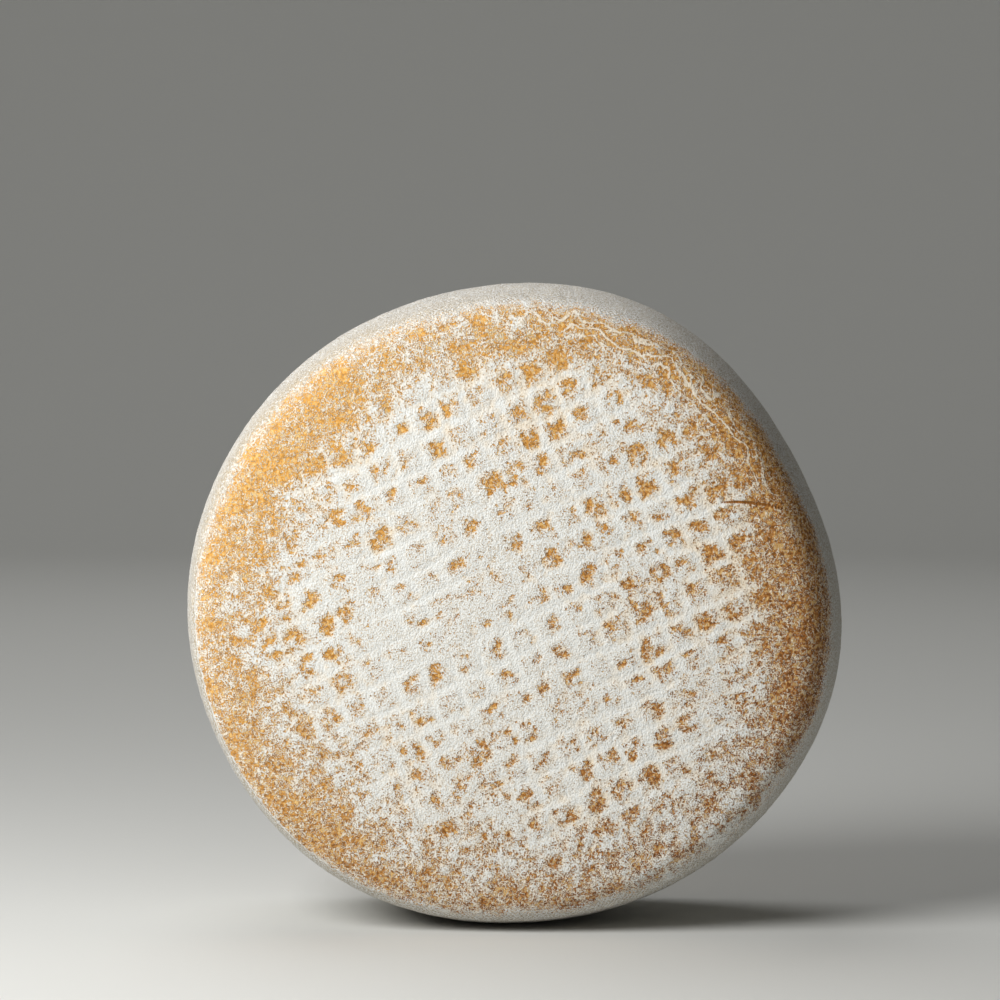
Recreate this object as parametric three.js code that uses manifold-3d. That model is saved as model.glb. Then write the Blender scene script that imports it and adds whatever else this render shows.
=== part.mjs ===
// A whole wheel of ripened goat cheese, standing on its rim.
// Millimetres, +Z up. The wheel's axis runs along Y and its shown face looks towards -Y.
// The origin lies on the surface that the wheel stands on, below the middle of its box.
import * as THREE from "three";
import { mergeVertices } from "three/addons/utils/BufferGeometryUtils.js";
import Module from "manifold-3d";

// Driving dimensions of the wheel
const RIM_RADIUS = 120; // at the fullest part of the rim
const THICKNESS = 95; // from face to face, at the middle
const RIM_BULGE = 5; // how far the rim swells between its two shoulders
const SHOULDER_HEIGHT = 11; // along the axis, from the face to the start of the rim
const SHOULDER_WIDTH = 9; // along the radius, from the corner to the face
const FACE_FALL = 2.2; // how far a face drops from its flat middle to the shoulder's corner
const FLAT_MIDDLE_RADIUS = 84; // the rack presses this much of each face flat
const STANDING_FLAT_LENGTH = 38; // along X: the rim settles flat where the wheel stands

// Slow swells of the hand-made outline: so many waves round the rim, so high, with a crest at that angle
const OUTLINE_SWELLS = [
  { waves: 2, height: 0.95, crest: 2 },
  { waves: 3, height: 1.1, crest: 88 },
  { waves: 4, height: 1.0, crest: 68 },
  { waves: 5, height: 0.36, crest: 65 },
  { waves: 6, height: 0.37, crest: 60 },
];
// The shoulder is crisp on one side of the wheel and worn round on the other
const SHOULDER_SWELL = { height: 1.1, crest: 190, reach: 9 };

// Marks that the wires of the drying rack leave in both faces
const WIRE_PITCH = 10.75;
const WIRE_ANGLES = [24, 114]; // degrees from +X, in the plane of the face
const WIRE_SHIFTS = [3.6, -4.1]; // of each family of wires from the wheel's axis
const WIRE_MARK_DEPTHS = [0.5, 0.36]; // the second family lies under the first, and presses less
const WIRE_MARK_SLOPE = 3; // half of a mark's width for each millimetre of its depth
const WIRE_MARK_RADIUS = 87; // the marks run out where the face starts to fall

// A drying crack in the shown face
const CRACK = { length: 20, width: 1.1, depth: 2.5, x: 89, z: 39, angle: -4 };

// How finely the solid is faceted
const TURN_STEPS = 80;
const FALL_STEPS = 2;
const SHOULDER_STEPS = 4;
const RIM_STEPS = 6;
const CRACK_STEPS = 6;
const CUT_CLEARANCE = 0.5; // how far a cutting tool stands out of the surface that it cuts
const SHORTEST_EDGE = 0.02; // what a cut leaves shorter than this is closed up

const half = THICKNESS / 2;
const radians = THREE.MathUtils.degToRad;
const wasm = await Module();
wasm.setup();

// A closed three.js geometry as a solid that can be joined and cut.
function solidOf(geometry) {
  const bare = geometry.index ? geometry.clone() : mergeVertices(geometry);
  bare.deleteAttribute("normal");
  bare.deleteAttribute("uv");
  const merged = mergeVertices(bare, 1e-3);
  return new wasm.Manifold(
    new wasm.Mesh({
      numProp: 3,
      vertProperties: new Float32Array(merged.attributes.position.array),
      triVerts: new Uint32Array(merged.index.array),
    }),
  );
}

// A solid as a three.js geometry with flat facets.
function geometryOf(solid) {
  const mesh = solid.getMesh();
  const geometry = new THREE.BufferGeometry();
  geometry.setAttribute("position", new THREE.BufferAttribute(mesh.vertProperties, mesh.numProp));
  geometry.setIndex(new THREE.BufferAttribute(mesh.triVerts, 1));
  const facets = geometry.toNonIndexed();
  facets.computeVertexNormals();
  return facets;
}

// The corner where the rim's curve, carried on, would meet the face.
const rimStart = new THREE.Vector2(RIM_RADIUS - RIM_BULGE, -(half - SHOULDER_HEIGHT));
const corner = new THREE.Vector2(
  rimStart.x - (2 * RIM_BULGE * (SHOULDER_HEIGHT - FACE_FALL)) / (half - SHOULDER_HEIGHT),
  -(half - FACE_FALL),
);

// Half of the wheel's section, from the axis on the shown face to the middle of the rim.
function halfProfile() {
  const flatEdge = new THREE.Vector2(FLAT_MIDDLE_RADIUS, -half);
  const faceEdge = new THREE.Vector2(corner.x - SHOULDER_WIDTH, -(half - FACE_FALL / 2));
  const fallBend = new THREE.Vector2((flatEdge.x + faceEdge.x) / 2, -half);
  const fall = new THREE.QuadraticBezierCurve(flatEdge, fallBend, faceEdge);
  const shoulder = new THREE.QuadraticBezierCurve(faceEdge, corner, rimStart);
  const rimBend = new THREE.Vector2(RIM_RADIUS + RIM_BULGE, 0);
  const rim = new THREE.QuadraticBezierCurve(rimStart, rimBend, new THREE.Vector2(rimStart.x, -rimStart.y));
  return [
    new THREE.Vector2(0, -half),
    ...fall.getPoints(FALL_STEPS),
    ...shoulder.getPoints(SHOULDER_STEPS).slice(1),
    ...rim.getPoints(RIM_STEPS).slice(1, RIM_STEPS / 2 + 1),
  ];
}

// Moves a point of the round wheel to where the hand-made wheel has it.
function settle(point) {
  const radius = Math.hypot(point.x, point.z);
  if (radius === 0) return;
  const angle = Math.atan2(point.z, point.x);
  const swell = OUTLINE_SWELLS.reduce(
    (sum, s) => sum + s.height * Math.cos(s.waves * (angle - radians(s.crest))),
    0,
  );
  const fromCorner = Math.hypot(radius - corner.x, Math.abs(point.y) + corner.y);
  const nearCorner = Math.exp(-((fromCorner / SHOULDER_SWELL.reach) ** 2));
  const crisp = SHOULDER_SWELL.height * nearCorner * Math.cos(angle - radians(SHOULDER_SWELL.crest));
  const settled = radius * (1 + swell / RIM_RADIUS) + crisp;
  point.set((point.x * settled) / radius, point.y, (point.z * settled) / radius);
}

// The bare wheel, its section turned about the axis and then settled.
function wheelBody() {
  const front = halfProfile();
  const back = front
    .slice(0, -1)
    .reverse()
    .map((p) => new THREE.Vector2(p.x, -p.y));
  const geometry = new THREE.LatheGeometry([...front, ...back], TURN_STEPS);
  const positions = geometry.attributes.position;
  const point = new THREE.Vector3();
  for (let i = 0; i < positions.count; i++) {
    settle(point.fromBufferAttribute(positions, i));
    positions.setXYZ(i, point.x, point.y, point.z);
  }
  return solidOf(geometry);
}

// Everything below the flat that the rim stands on.
function groundBlock(standingHeight) {
  const side = 4 * RIM_RADIUS;
  const block = new THREE.BoxGeometry(side, side, side);
  block.translate(0, 0, -standingHeight - side / 2);
  return solidOf(block);
}

// One wire of the rack: a bar with a keel that leaves a V-shaped groove.
// Face is -1 for the shown face and 1 for the back.
function wireBar(face, angle, shift, depth) {
  const length = 2 * Math.sqrt(WIRE_MARK_RADIUS ** 2 - shift ** 2);
  const halfWidth = WIRE_MARK_SLOPE * (depth + CUT_CLEARANCE);
  const keel = new THREE.Shape();
  keel.moveTo(0, depth);
  keel.lineTo(-halfWidth, -CUT_CLEARANCE);
  keel.lineTo(halfWidth, -CUT_CLEARANCE);
  keel.closePath();
  const bar = new THREE.ExtrudeGeometry(keel, { depth: length, bevelEnabled: false });
  bar.translate(shift, 0, -length / 2);
  const along = new THREE.Vector3(Math.cos(radians(angle)), 0, Math.sin(radians(angle)));
  const inward = new THREE.Vector3(0, -face, 0);
  const across = new THREE.Vector3().crossVectors(inward, along);
  bar.applyMatrix4(new THREE.Matrix4().makeBasis(across, inward, along));
  bar.translate(0, face * half, 0);
  return solidOf(bar);
}

// Both families of wires, over both faces.
function rackWires() {
  const reach = Math.ceil(WIRE_MARK_RADIUS / WIRE_PITCH);
  const bars = [];
  for (const face of [-1, 1]) {
    WIRE_ANGLES.forEach((angle, family) => {
      for (let wire = -reach; wire <= reach; wire++) {
        const shift = wire * WIRE_PITCH + WIRE_SHIFTS[family];
        if (Math.abs(shift) > FLAT_MIDDLE_RADIUS - WIRE_PITCH / 2) continue;
        bars.push(wireBar(face, angle, shift, WIRE_MARK_DEPTHS[family]));
      }
    });
  }
  return wasm.Manifold.union(bars);
}

// The drying crack: a slit with pointed ends, sunk into the shown face.
function dryingCrack() {
  const slit = new THREE.Shape();
  slit.moveTo(-CRACK.length / 2, 0);
  slit.quadraticCurveTo(0, CRACK.width, CRACK.length / 2, 0);
  slit.quadraticCurveTo(0, -CRACK.width, -CRACK.length / 2, 0);
  const cut = new THREE.ExtrudeGeometry(slit, {
    depth: CRACK.depth + CUT_CLEARANCE,
    bevelEnabled: false,
    curveSegments: CRACK_STEPS,
  });
  cut.translate(0, 0, -CRACK.depth);
  cut.rotateX(Math.PI / 2);
  cut.rotateY(-radians(CRACK.angle));
  cut.translate(CRACK.x, -half, CRACK.z);
  return solidOf(cut);
}

function cheeseWheel() {
  const body = wheelBody();
  const lowest = -body.boundingBox().min[2];
  const standingHeight = lowest - STANDING_FLAT_LENGTH ** 2 / (8 * RIM_RADIUS);
  const standing = body.subtract(groundBlock(standingHeight));
  const marked = standing.subtract(rackWires()).subtract(dryingCrack());
  const geometry = geometryOf(marked.simplify(SHORTEST_EDGE));
  geometry.computeBoundingBox();
  const centre = geometry.boundingBox.getCenter(new THREE.Vector3());
  const rind = new THREE.MeshStandardMaterial({ color: 0xdcc6a0, roughness: 0.85, metalness: 0 });
  const mesh = new THREE.Mesh(geometry, rind);
  mesh.name = "cheese_wheel";
  mesh.position.set(-centre.x, -centre.y, standingHeight);
  return mesh;
}

const part = new THREE.Group();
part.add(cheeseWheel());
export default part;
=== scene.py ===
"""The looks of a ripened goat cheese wheel: its mould-dusted natural rind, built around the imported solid."""

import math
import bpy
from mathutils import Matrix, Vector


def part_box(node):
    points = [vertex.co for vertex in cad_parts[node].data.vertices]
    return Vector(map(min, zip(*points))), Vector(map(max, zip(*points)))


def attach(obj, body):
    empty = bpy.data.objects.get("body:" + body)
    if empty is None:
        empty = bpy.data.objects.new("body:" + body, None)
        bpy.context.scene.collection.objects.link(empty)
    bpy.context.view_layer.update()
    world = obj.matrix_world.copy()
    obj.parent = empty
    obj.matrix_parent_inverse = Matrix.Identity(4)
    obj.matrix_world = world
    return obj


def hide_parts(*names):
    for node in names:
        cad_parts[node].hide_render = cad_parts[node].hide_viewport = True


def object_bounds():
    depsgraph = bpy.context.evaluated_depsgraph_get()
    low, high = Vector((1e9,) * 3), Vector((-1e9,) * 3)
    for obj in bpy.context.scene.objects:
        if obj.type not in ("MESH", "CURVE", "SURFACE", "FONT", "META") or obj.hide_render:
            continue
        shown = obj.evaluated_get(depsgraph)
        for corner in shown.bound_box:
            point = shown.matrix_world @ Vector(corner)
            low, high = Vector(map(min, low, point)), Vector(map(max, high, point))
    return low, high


bl_info = {
    "name": "Goat Cheese Wheel",
    "version": (1, 0, 0),
    "blender": (4, 5, 0),
    "location": "3D View > Sidebar > Cheese",
    "description": "Builds a standing wheel of ripened goat cheese and a plain studio stage for it",
    "category": "Add Mesh",
}

import bmesh
import bpy
import numpy as np
from bpy.props import FloatProperty, FloatVectorProperty, IntProperty, PointerProperty
from mathutils import Vector

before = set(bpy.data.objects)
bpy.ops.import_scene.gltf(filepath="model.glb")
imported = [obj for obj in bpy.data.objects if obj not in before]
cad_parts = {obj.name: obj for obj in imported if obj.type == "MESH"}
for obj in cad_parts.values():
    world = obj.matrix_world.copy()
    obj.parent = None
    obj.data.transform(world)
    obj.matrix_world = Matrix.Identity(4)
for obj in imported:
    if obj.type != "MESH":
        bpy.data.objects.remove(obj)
CAD_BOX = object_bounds()

MM = 0.001
WHEEL_NODE = "cheese_wheel"
WHEEL_PIECE = "goat_cheese_wheel"
BAKE_MAP = "OFBake"

# Slow swells of the hand-made outline: so many waves round the rim, so high in millimetres, with a crest at
# that angle in degrees. Angles run from +X towards +Z, as the shown face is seen.
OUTLINE_SWELLS = (
    (2, 0.95, 2),
    (3, 1.1, 88),
    (4, 1.0, 68),
    (5, 0.36, 65),
    (6, 0.37, 60),
)
# The shoulder is crisp on one side of the wheel and worn round on the other: height, crest and reach
SHOULDER_SWELL = (1.1, 190, 9)

# How finely the wheel is meshed, in rings from the middle of a face to the middle of the rim
FLAT_RINGS = 68
FALL_RINGS = 16
SHOULDER_RINGS = 16
RIM_RINGS = 13

# Places on the bake map: middle and radius of each round face, and the two strips of the rim
SHOWN_FACE_ON_MAP = (0.302, 0.697, 0.297)
BACK_FACE_ON_MAP = (0.8, 0.8, 0.19)
STRIP_LEFT = 0.025
STRIP_LENGTH = 0.95
STRIP_WIDTH = 0.185
FIRST_STRIP_MIDDLE = 0.1
SECOND_STRIP_MIDDLE = 0.293

# Bareness of the rind: in a face's middle, what is added at the edge, and how late it rises. Radii here and
# below are in millimetres from the axis.
BARE_MIDDLE = 0.135
BARE_EDGE = 0.42
BARE_EDGE_RADIUS = 105
BARE_FULL_RADIUS = 101
BARE_RISE = 2.0
# Where the rind is barer than that, or below zero more thickly covered: angle in degrees and radius of the
# middle, half length along the rim, half width along the radius, and how bare
BARE_PATCHES = (
    (131, 101, 30, 12, 0.26),
    (150, 98, 20, 12, 0.22),
    (134, 87, 10, 10, 0.22),
    (168, 102, 24, 14, 0.18),
    (203, 104, 22, 10, 0.2),
    (228, 102, 24, 13, 0.22),
    (245, 108, 18, 6, 0.16),
    (276, 107, 28, 8, 0.22),
    (92, 98, 16, 8, 0.2),
    (72, 108, 22, 9, 0.26),
    (80, 82, 11, 13, 0.2),
    (40, 107, 40, 9, 0.26),
    (10, 101, 38, 15, 0.14),
    (8, 110, 60, 7, 0.36),
    (-17, 103, 24, 11, 0.2),
    (75, 62, 40, 22, 0.12),
    (8, 82, 26, 18, 0.34),
    (-6, 43, 11, 10, 0.16),
    (-54, 75, 14, 12, 0.05),
    (110, 75, 20, 13, -0.16),
    (62, 84, 11, 9, -0.14),
    (188, 52, 26, 20, -0.08),
    (-45, 104, 34, 12, -0.18),
    (255, 62, 55, 18, 0.08),
    (300, 58, 50, 16, 0.05),
    (12, 38, 22, 14, 0.16),
    (235, 88, 55, 12, -0.07),
    (310, 86, 40, 10, -0.08),
    (155, 92, 35, 10, -0.1),
    (0, 0, 1, 24, -0.05),
)
# The other face is alike, with its patches turned on by this many degrees
BACK_TURN = 205

# The drying crack in the shown face, in millimetres: its two ends with the bend between them, half of its
# width in the middle, the share of it that is left at the ends, and its depth
CRACK_LINE = ((76, 40.4), (86, 41.6), (101, 37.8))
CRACK_STEPS = 24
CRACK_HALF_WIDTH = 0.75
CRACK_NARROWEST = 0.1
CRACK_DEPTH = 0.65
# The mesh is finer this close to the crack, and points further off than the search are left out of it
CRACK_CLOSE_MESH = 4.0
CRACK_MESH_CUTS = 2
CRACK_SEARCH = 22.0

# The cells between the rack's marks stay whole out to this radius, further on one side, and are lost in
# loose grains over the next stretch
CELLS_WITHIN = 69
CELLS_FURTHER = 20
CELLS_ANGLE = 45
CELLS_SPREAD = 75
CELLS_FADE = 24

# What changes round the shoulder: its crisp lip, the lace of mould, the stained stretch of the rim and the
# soft, wrinkled stretch. Middle and spread are in degrees, widths in millimetres.
LIP_ANGLE = 207
LIP_SPREAD = 40
LIP_WIDTH = 1.2
LACE_ANGLE = 58
LACE_SPREAD = 34
LACE_WIDTH = 5
LACE_INSIDE = 5.5
STAIN_ANGLE = 140
STAIN_SPREAD = 42
STAIN_WIDTH = 14
WRINKLE_ANGLE = -48
WRINKLE_SPREAD = 34
WRINKLE_WIDTH = 9
# The bare skin is drawn darker and browner across the wheel towards this angle in degrees, the side away from
# the key light: partly browner skin, partly painted shade. How much at the axis, and what is added at this
# radius
SHADE_AND_BROWN_ANGLE = -42
SHADE_AND_BROWN_MIDDLE = 0.45
SHADE_AND_BROWN_RISE = 0.5
SHADE_AND_BROWN_RADIUS = 118
# On one side the bare skin reaches further over the shoulder, by this many millimetres
OVER_ANGLE = 15
OVER_SPREAD = 50
OVER_REACH = 10

# Grain of the relief: name, size in millimetres and detail of each noise
RELIEF_NOISES = (
    ("crumbs", 2.6, 1.0),
    ("lobes", 3.2, 1.0),
    ("blots", 6.5, 1.0),
    ("press", 26, 1.0),
    ("lumps", 15, 2.0),
)
NOISE_MEAN = 0.5
# The folds of the wrinkled stretch: length along the shoulder, and width across it in millimetres
FOLD_LENGTH = 16 * MM
FOLD_WIDTH = 3.4
FOLD_DETAIL = 2.0
FOLD_DISTORTION = 0.6
# The wires' marks: how far they wander and over what width they run out, and the values of the press noise
# between which they go from their faintest to their full depth
WIRE_WANDER = 8 * MM
MARK_FADE = 12 * MM
PRESS_FAINT = -0.14
PRESS_FULL = 0.06
PRESS_LEAST = 0.25
# The spot in each cell: half of its flat side, its soft edge, and how ragged, how far from the middle and
# how uneven in size it is
CELL_MIDDLE = (0.5, 0.5, 0.0)
SPOT_SIDE = 1.2 * MM
SPOT_EDGE = 2.6 * MM
SPOT_RAGGED = 6.0 * MM
SPOT_STRAY = 4.2 * MM
SPOT_SPREAD = 3.0 * MM
# How bare a spot is: from chance, from how bare the rind is there and from small lobes, less a share that
# leaves some cells whole, and at most so bare
SPOT_CHANCE = 1.0
SPOT_WITH_BARE = 0.9
SPOT_LOBES = 3.6
SPOT_LESS = 0.34
SPOT_BARE = 0.85
# How bare the rest of a cell is: shares of the rind's bareness and of the lobes
CELL_GROUND = 0.82
CELL_LOBES = 1.6
# How bare the rind is where the cells are lost: the lobes count less from one bareness to another, and
# blots and lumps are added
EDGE_LOBES = 2.4
BAND_LOBES = 0.9
BAND_FROM = 0.35
BAND_FULL = 0.7
EDGE_BLOTS = 0.9
EDGE_PATCHES = 0.45
# The mean height of the relief, which is taken off so that the surface lies in the solid's own
RELIEF_LEVEL = 0.2 * MM
RELIEF_SIZES = (
    "wire_pitch", "wire_angle", "first_wire_shift", "second_wire_shift", "first_mark_depth",
    "second_mark_depth", "mark_half_width", "mark_radius", "crust_height", "lump_height", "crumb_height",
    "lip_height", "wrinkle_height", "seed",
)

# Grain of the rind: name, size in millimetres and detail of each noise. Real mould dust is finer: it is
# drawn as coarse as it needs to show in the render.
RIND_NOISES = (
    ("dust", 0.42, 0.0),
    ("fine", 0.58, 0.0),
    ("grain", 1.25, 1.0),
    ("clump", 2.6, 1.5),
    ("patch", 14.0, 1.0),
)
RIND_NOISE_ROUGHNESS = 0.6
# How much each noise counts in the mould's grains: in a whole cell, and where the cells are lost
GRAIN_SHARES = (
    ("dust", 0.16, 0.34),
    ("fine", 0.32, 0.28),
    ("grain", 0.3, 0.24),
    ("clump", 0.22, 0.14),
)
# The mould's level against its grains: with no mould, and what full mould, the wires' lines and the
# threads of mould add to it
LEVEL_BARE = 0.375
LEVEL_MOULD = 0.25
LEVEL_LINES = 0.14
LEVEL_THREADS = 0.11
# How far the level lies over the grains where the bloom starts and where it is full
BLOOM_FROM = -0.06
BLOOM_FULL = 0.065
# A wire's line of mould: whole up to this far from its middle, and gone at this
LINE_WHOLE = 0.6 * MM
LINE_GONE = 2.4 * MM
# Threads of mould run where the clumps and the grains come so close to these values, with this share for
# the grains' threads
CLUMP_THREAD = 0.5
CLUMP_THREAD_HALF = 0.024
GRAIN_THREAD = 0.52
GRAIN_THREAD_HALF = 0.022
GRAIN_THREAD_SHARE = 0.4
# The lace on the shoulder, in millimetres: how far it sways and curls, half of its threads' spacing, and
# where a thread is whole and gone; and what it adds to the mould's level
LACE_SWAY = 18.0
LACE_CURL = 3.0
LACE_HALF_SPACING = 2.2
LACE_THREAD_WHOLE = 0.35
LACE_THREAD_GONE = 0.65
LEVEL_LACE = 0.3
# Spacing of the threads of the cloth that the curd was pressed in, in millimetres
CLOTH_PITCH = 1.75
# The skin's dark and pale grains: the speckle where they start and are full, and how strong they are on the
# pale side and on the darker side of the wheel, whose darkening is partly painted shade
UMBER_SPECKLE = (0.52, 0.64)
UMBER_MOST = (0.35, 0.9)
STRAW_SPECKLE = (0.48, 0.36)
STRAW_MOST = (0.9, 0.6)
# Thin mould: where the fine grains start and are full, and how strong it is off and on the wires' lines
THIN_GRAINS = (0.42, 0.64)
THIN_MOST = (0.5, 0.2)
# Warm mould: how much mould there is where it starts and is full, and how strong it is
WARM_WITH_MOULD = (0.8, 0.25)
WARM_MOST = 0.85
# Bloom and stain on the rim: where their grains start and are full
CLOTH_IN_BLOOM = 0.14
RIM_BLOOM_GRAINS = (0.38, 0.56)
STAIN_GRAINS = (0.34, 0.6)
STAIN_MOST = 0.9
# The border between the face's rind and the rim's, in millimetres: how far clumps, patches and fine grains
# move it, what brings it back to the shoulder, and half of its soft edge
BORDER_CLUMPS = 6.0
BORDER_PATCHES = 9.0
BORDER_GRAINS = 14.0
BORDER_BACK = 14.5
BORDER_SOFT = 0.5
# The same border at the crisp lip, its pale line and a dark line of painted shade, as of a groove, outside it
LIP_CLUMPS = 4.0
LIP_BACK = 2.8
LIP_LINE_WHOLE = 0.35
LIP_LINE_GONE = 0.65
# The dark line outside the lip is painted shade of a groove that the relief doesn't have
GROOVE_SHADE_OUTSIDE = 1.0
GROOVE_SHADE_HALF = 0.35
# How deep the crack is where its own colour is full
CRACK_COLOUR_FULL = 0.35
# The surface: waxy skin and dry mould
SKIN_ROUGHNESS = 0.6
MOULD_ROUGHNESS = 0.92
RIND_IOR = 1.45
RIND_SPECULAR = 0.3
# Fine relief: shares of the mould, the grains and the cloth's threads
BUMP_MOULD = 0.9
BUMP_GRAIN = 0.7
BUMP_FINE = 0.5
BUMP_CLOTH = 0.25
BUMP_STRENGTH = 0.9
BUMP_HEIGHT = 0.5 * MM

# Settings of a node that mixes two colours
COLOUR_MIX = {"output": 2, "data_type": "RGBA"}

# The stage, in metres
SWEEP_FLAT = 2.2
SWEEP_BEND = 0.8
SWEEP_HEIGHT = 2.4
SWEEP_TURNS = 96
SWEEP_BEND_STEPS = 12
PAPER_ROUGHNESS = 0.9
KEY_SIZE = 0.55
KEY_PLACE = Vector((-0.5, -0.48, 0.44))
OVERHEAD_SIZE = 1.6
OVERHEAD_PLACE = Vector((-0.5, 0.95, 1.9))
OVERHEAD_TARGET = Vector((0, 1.1, 0))
# The camera's lens and sensor are in millimetres
CAMERA_LENS = 85
CAMERA_SENSOR = 24
CAMERA_TARGET = (-0.0031, -0.0475, 0.1575)


def linear(code):
    """A colour given as sRGB hex, in the linear values that Blender's nodes take."""
    parts = [int(code[at:at + 2], 16) / 255 for at in (1, 3, 5)]
    return tuple(c / 12.92 if c <= 0.04045 else ((c + 0.055) / 1.055) ** 2.4 for c in parts) + (1.0,)


def put(tree, kind, inputs, output=0, **settings):
    """Adds one node with its settings. Inputs are values or links by socket. Gives one of its outputs."""
    node = tree.nodes.new(kind)
    for name, value in settings.items():
        setattr(node, name, value)
    for socket, value in inputs.items():
        if isinstance(value, bpy.types.NodeSocket):
            tree.links.new(value, node.inputs[socket])
        else:
            node.inputs[socket].default_value = value
    return node.outputs[output]


class CheeseWheelSizes(bpy.types.PropertyGroup):
    """Sizes of the wheel and of the marks in its faces."""

    rim_radius: FloatProperty(
        name="Rim radius", description="At the fullest part of the rim", default=120 * MM, unit="LENGTH")
    thickness: FloatProperty(
        name="Thickness", description="From face to face, at the middle", default=95 * MM, unit="LENGTH")
    rim_bulge: FloatProperty(
        name="Rim bulge", description="How far the rim swells between its shoulders",
        default=5 * MM, unit="LENGTH")
    shoulder_height: FloatProperty(
        name="Shoulder height", description="Along the axis, from the face to the rim",
        default=11 * MM, unit="LENGTH")
    shoulder_width: FloatProperty(
        name="Shoulder width", description="Along the radius, from the corner to the face",
        default=9 * MM, unit="LENGTH")
    face_fall: FloatProperty(
        name="Face fall", description="Drop of a face from its middle to its corner",
        default=2.2 * MM, unit="LENGTH")
    flat_radius: FloatProperty(
        name="Flat middle radius", description="What the rack presses flat", default=84 * MM, unit="LENGTH")
    wire_pitch: FloatProperty(
        name="Wire pitch", description="Between two wires of the drying rack",
        default=10.75 * MM, unit="LENGTH")
    wire_angle: FloatProperty(
        name="Wire angle", description="Of the first wires to the level",
        default=math.radians(24), subtype="ANGLE")
    first_wire_shift: FloatProperty(
        name="First wires' shift", description="Of a first wire from the axis",
        default=3.6 * MM, unit="LENGTH")
    second_wire_shift: FloatProperty(
        name="Second wires' shift", description="Of a second wire from the axis",
        default=4.1 * MM, unit="LENGTH")
    first_mark_depth: FloatProperty(
        name="First marks' depth", description="Of the marks of the upper wires",
        default=0.3 * MM, unit="LENGTH")
    second_mark_depth: FloatProperty(
        name="Second marks' depth", description="Of the marks of the lower wires",
        default=0.22 * MM, unit="LENGTH")
    mark_half_width: FloatProperty(
        name="Mark half width", description="From a mark's middle to its edge",
        default=2.2 * MM, unit="LENGTH")
    mark_radius: FloatProperty(
        name="Mark radius", description="The marks run out here", default=87 * MM, unit="LENGTH")
    crust_height: FloatProperty(
        name="Crust height", description="How far the mould stands on the rind",
        default=0.25 * MM, unit="LENGTH")
    lump_height: FloatProperty(
        name="Lump height", description="Of the uneven curd under the rind",
        default=0.5 * MM, unit="LENGTH")
    crumb_height: FloatProperty(
        name="Crumb height", description="Of the small crumbs of the rind",
        default=0.3 * MM, unit="LENGTH")
    lip_height: FloatProperty(
        name="Lip height", description="Of the crisp lip on one side of the shoulder",
        default=0.5 * MM, unit="LENGTH")
    wrinkle_height: FloatProperty(
        name="Wrinkle height", description="Of the folds in the soft shoulder",
        default=0.9 * MM, unit="LENGTH")
    seed: IntProperty(name="Seed", description="Another seed gives another wheel", default=7)


class RindColours(bpy.types.PropertyGroup):
    """Colours of the natural rind and its mould."""

    mould: FloatVectorProperty(
        name="Mould", description="Thick white bloom",
        default=linear("#ECEDE9"), size=4, subtype="COLOR")
    # Also the colour of the painted groove shade outside the lip
    thin_mould: FloatVectorProperty(
        name="Thin mould", description="Bloom that the rind shines through",
        default=linear("#C9B594"), size=4, subtype="COLOR")
    warm_mould: FloatVectorProperty(
        name="Warm mould", description="Bloom left on the bare rind",
        default=linear("#F4E3C8"), size=4, subtype="COLOR")
    ochre: FloatVectorProperty(
        name="Ochre", description="Bare rind", default=linear("#E9AA4E"), size=4, subtype="COLOR")
    # The darker skin on one side of the wheel: partly browner rind, partly painted shade
    copper_and_shade: FloatVectorProperty(
        name="Copper", description="Darker bare rind", default=linear("#98582A"), size=4, subtype="COLOR")
    umber: FloatVectorProperty(
        name="Umber", description="Dark grains in the bare rind",
        default=linear("#6B4118"), size=4, subtype="COLOR")
    straw: FloatVectorProperty(
        name="Straw", description="Paler bare rind", default=linear("#EDC987"), size=4, subtype="COLOR")
    rim_bloom: FloatVectorProperty(
        name="Rim bloom", description="Bloom on the rim",
        default=linear("#F2F1ED"), size=4, subtype="COLOR")
    rim_rind: FloatVectorProperty(
        name="Rim rind", description="Rind between the threads' marks",
        default=linear("#C4B8A2"), size=4, subtype="COLOR")
    crack: FloatVectorProperty(
        name="Crack", description="Inside the drying crack",
        default=linear("#A0682C"), size=4, subtype="COLOR")


class StudioSettings(bpy.types.PropertyGroup):
    """The floor, the lights and the camera."""

    floor_colour: FloatVectorProperty(
        name="Floor", description="Pale paper sweep",
        default=linear("#D2D2CE"), size=4, subtype="COLOR")
    key_power: FloatProperty(
        name="Key power", description="Soft box at the upper left", default=8.0, unit="POWER")
    overhead_power: FloatProperty(
        name="Overhead power", description="Large soft box above and behind", default=15, unit="POWER")
    fill_strength: FloatProperty(
        name="Fill", description="Even light of the room", default=0.045, min=0)
    camera_azimuth: FloatProperty(
        name="Azimuth", description="Of the camera, to the right",
        default=math.radians(2.6), subtype="ANGLE")
    camera_elevation: FloatProperty(
        name="Elevation", description="Of the camera, above the axis",
        default=math.radians(4.3), subtype="ANGLE")
    camera_distance: FloatProperty(
        name="Distance", description="From the wheel's axis", default=1321 * MM, unit="LENGTH")


def quadratic(start, bend, end, steps):
    """Points of a quadratic curve, without its start."""
    t = np.linspace(0, 1, steps + 1)[1:, None]
    return (1 - t) ** 2 * np.array(start) + 2 * t * (1 - t) * np.array(bend) + t ** 2 * np.array(end)


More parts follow.
